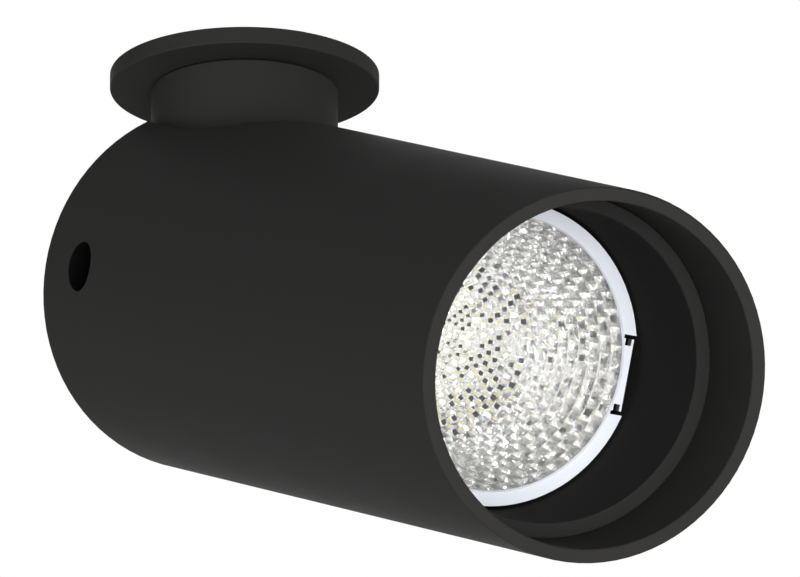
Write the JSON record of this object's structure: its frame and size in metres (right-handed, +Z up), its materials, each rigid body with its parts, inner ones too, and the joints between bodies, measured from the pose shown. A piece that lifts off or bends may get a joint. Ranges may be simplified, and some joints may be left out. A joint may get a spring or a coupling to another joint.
{
  "type": "ceiling spotlight",
  "caption": "Black tubular spotlight that tilts on a neck in its slotted back end and turns under a small round ceiling flange, with a faceted reflector set deep in its mouth.",
  "frame": {"origin": "centre of the ceiling flange's top face, at the ceiling plane, on the stem's axis", "axes": "+Z up along the stem, into the ceiling; the tube points towards -Y and tilts about X"},
  "size_m": [0.085, 0.2261, 0.1784],
  "materials": {
    "black_coat": "fine matte black powder coat on aluminium",
    "black_casting": "matte black die casting",
    "bare_aluminium": "bare extruded aluminium",
    "zinc_steel": "zinc plated steel",
    "black_steel": "black oxide steel",
    "bronze": "sintered bronze",
    "black_plastic": "matte black plastic",
    "white_nylon": "natural white plastic",
    "grey_pad": "grey silicone pad",
    "board_white": "white ceramic board",
    "phosphor": "yellow silicone phosphor",
    "mirror_coat": "metallised mirror coat on plastic",
    "black_rubber": "black rubber"
  },
  "bodies": {
    "ceiling_mount": {"ceiling_flange": "black_coat", "ceiling_stem": "zinc_steel", "collar_screws": "zinc_steel", "cable_bush": "white_nylon", "pan_stop_pin": "zinc_steel", "retaining_washer": "zinc_steel", "wave_washer": "zinc_steel", "retaining_nut": "zinc_steel"},
    "swivel": {"thrust_washer": "black_plastic", "neck_housing": "black_coat", "swivel_bush": "black_plastic", "pivot_arm": "black_casting", "arm_screws": "black_steel", "pivot_bush_left": "bronze", "pivot_bush_right": "bronze"},
    "head": {"friction_washer_left": "black_plastic", "friction_washer_right": "black_plastic", "pivot_bolt": "black_steel", "spring_washer": "zinc_steel", "pivot_nut": "zinc_steel", "housing_tube": "black_coat", "rear_cover": "black_coat", "cover_screws": "black_steel", "yoke_frame": "black_casting", "heat_sink": "bare_aluminium", "heat_sink_screws": "zinc_steel", "thermal_pad": "grey_pad", "led_board": "board_white", "led_emitter": "phosphor", "led_holder": "white_nylon", "holder_screws": "zinc_steel", "reflector": "mirror_coat", "baffle_ring": "black_coat", "baffle_o_ring": "black_rubber"}
  },
  "joints": [
    {"name": "pan", "type": "hinge", "parent": "ceiling_mount", "child": "swivel", "pos_m": [0, 0, 0], "axis": [0, 0, 1], "range_deg": [-170, 170]},
    {"name": "tilt", "type": "hinge", "parent": "swivel", "child": "head", "pos_m": [0, 0, -0.0546], "axis": [1, 0, 0], "range_deg": [-23.5, 66.5]}
  ]
}
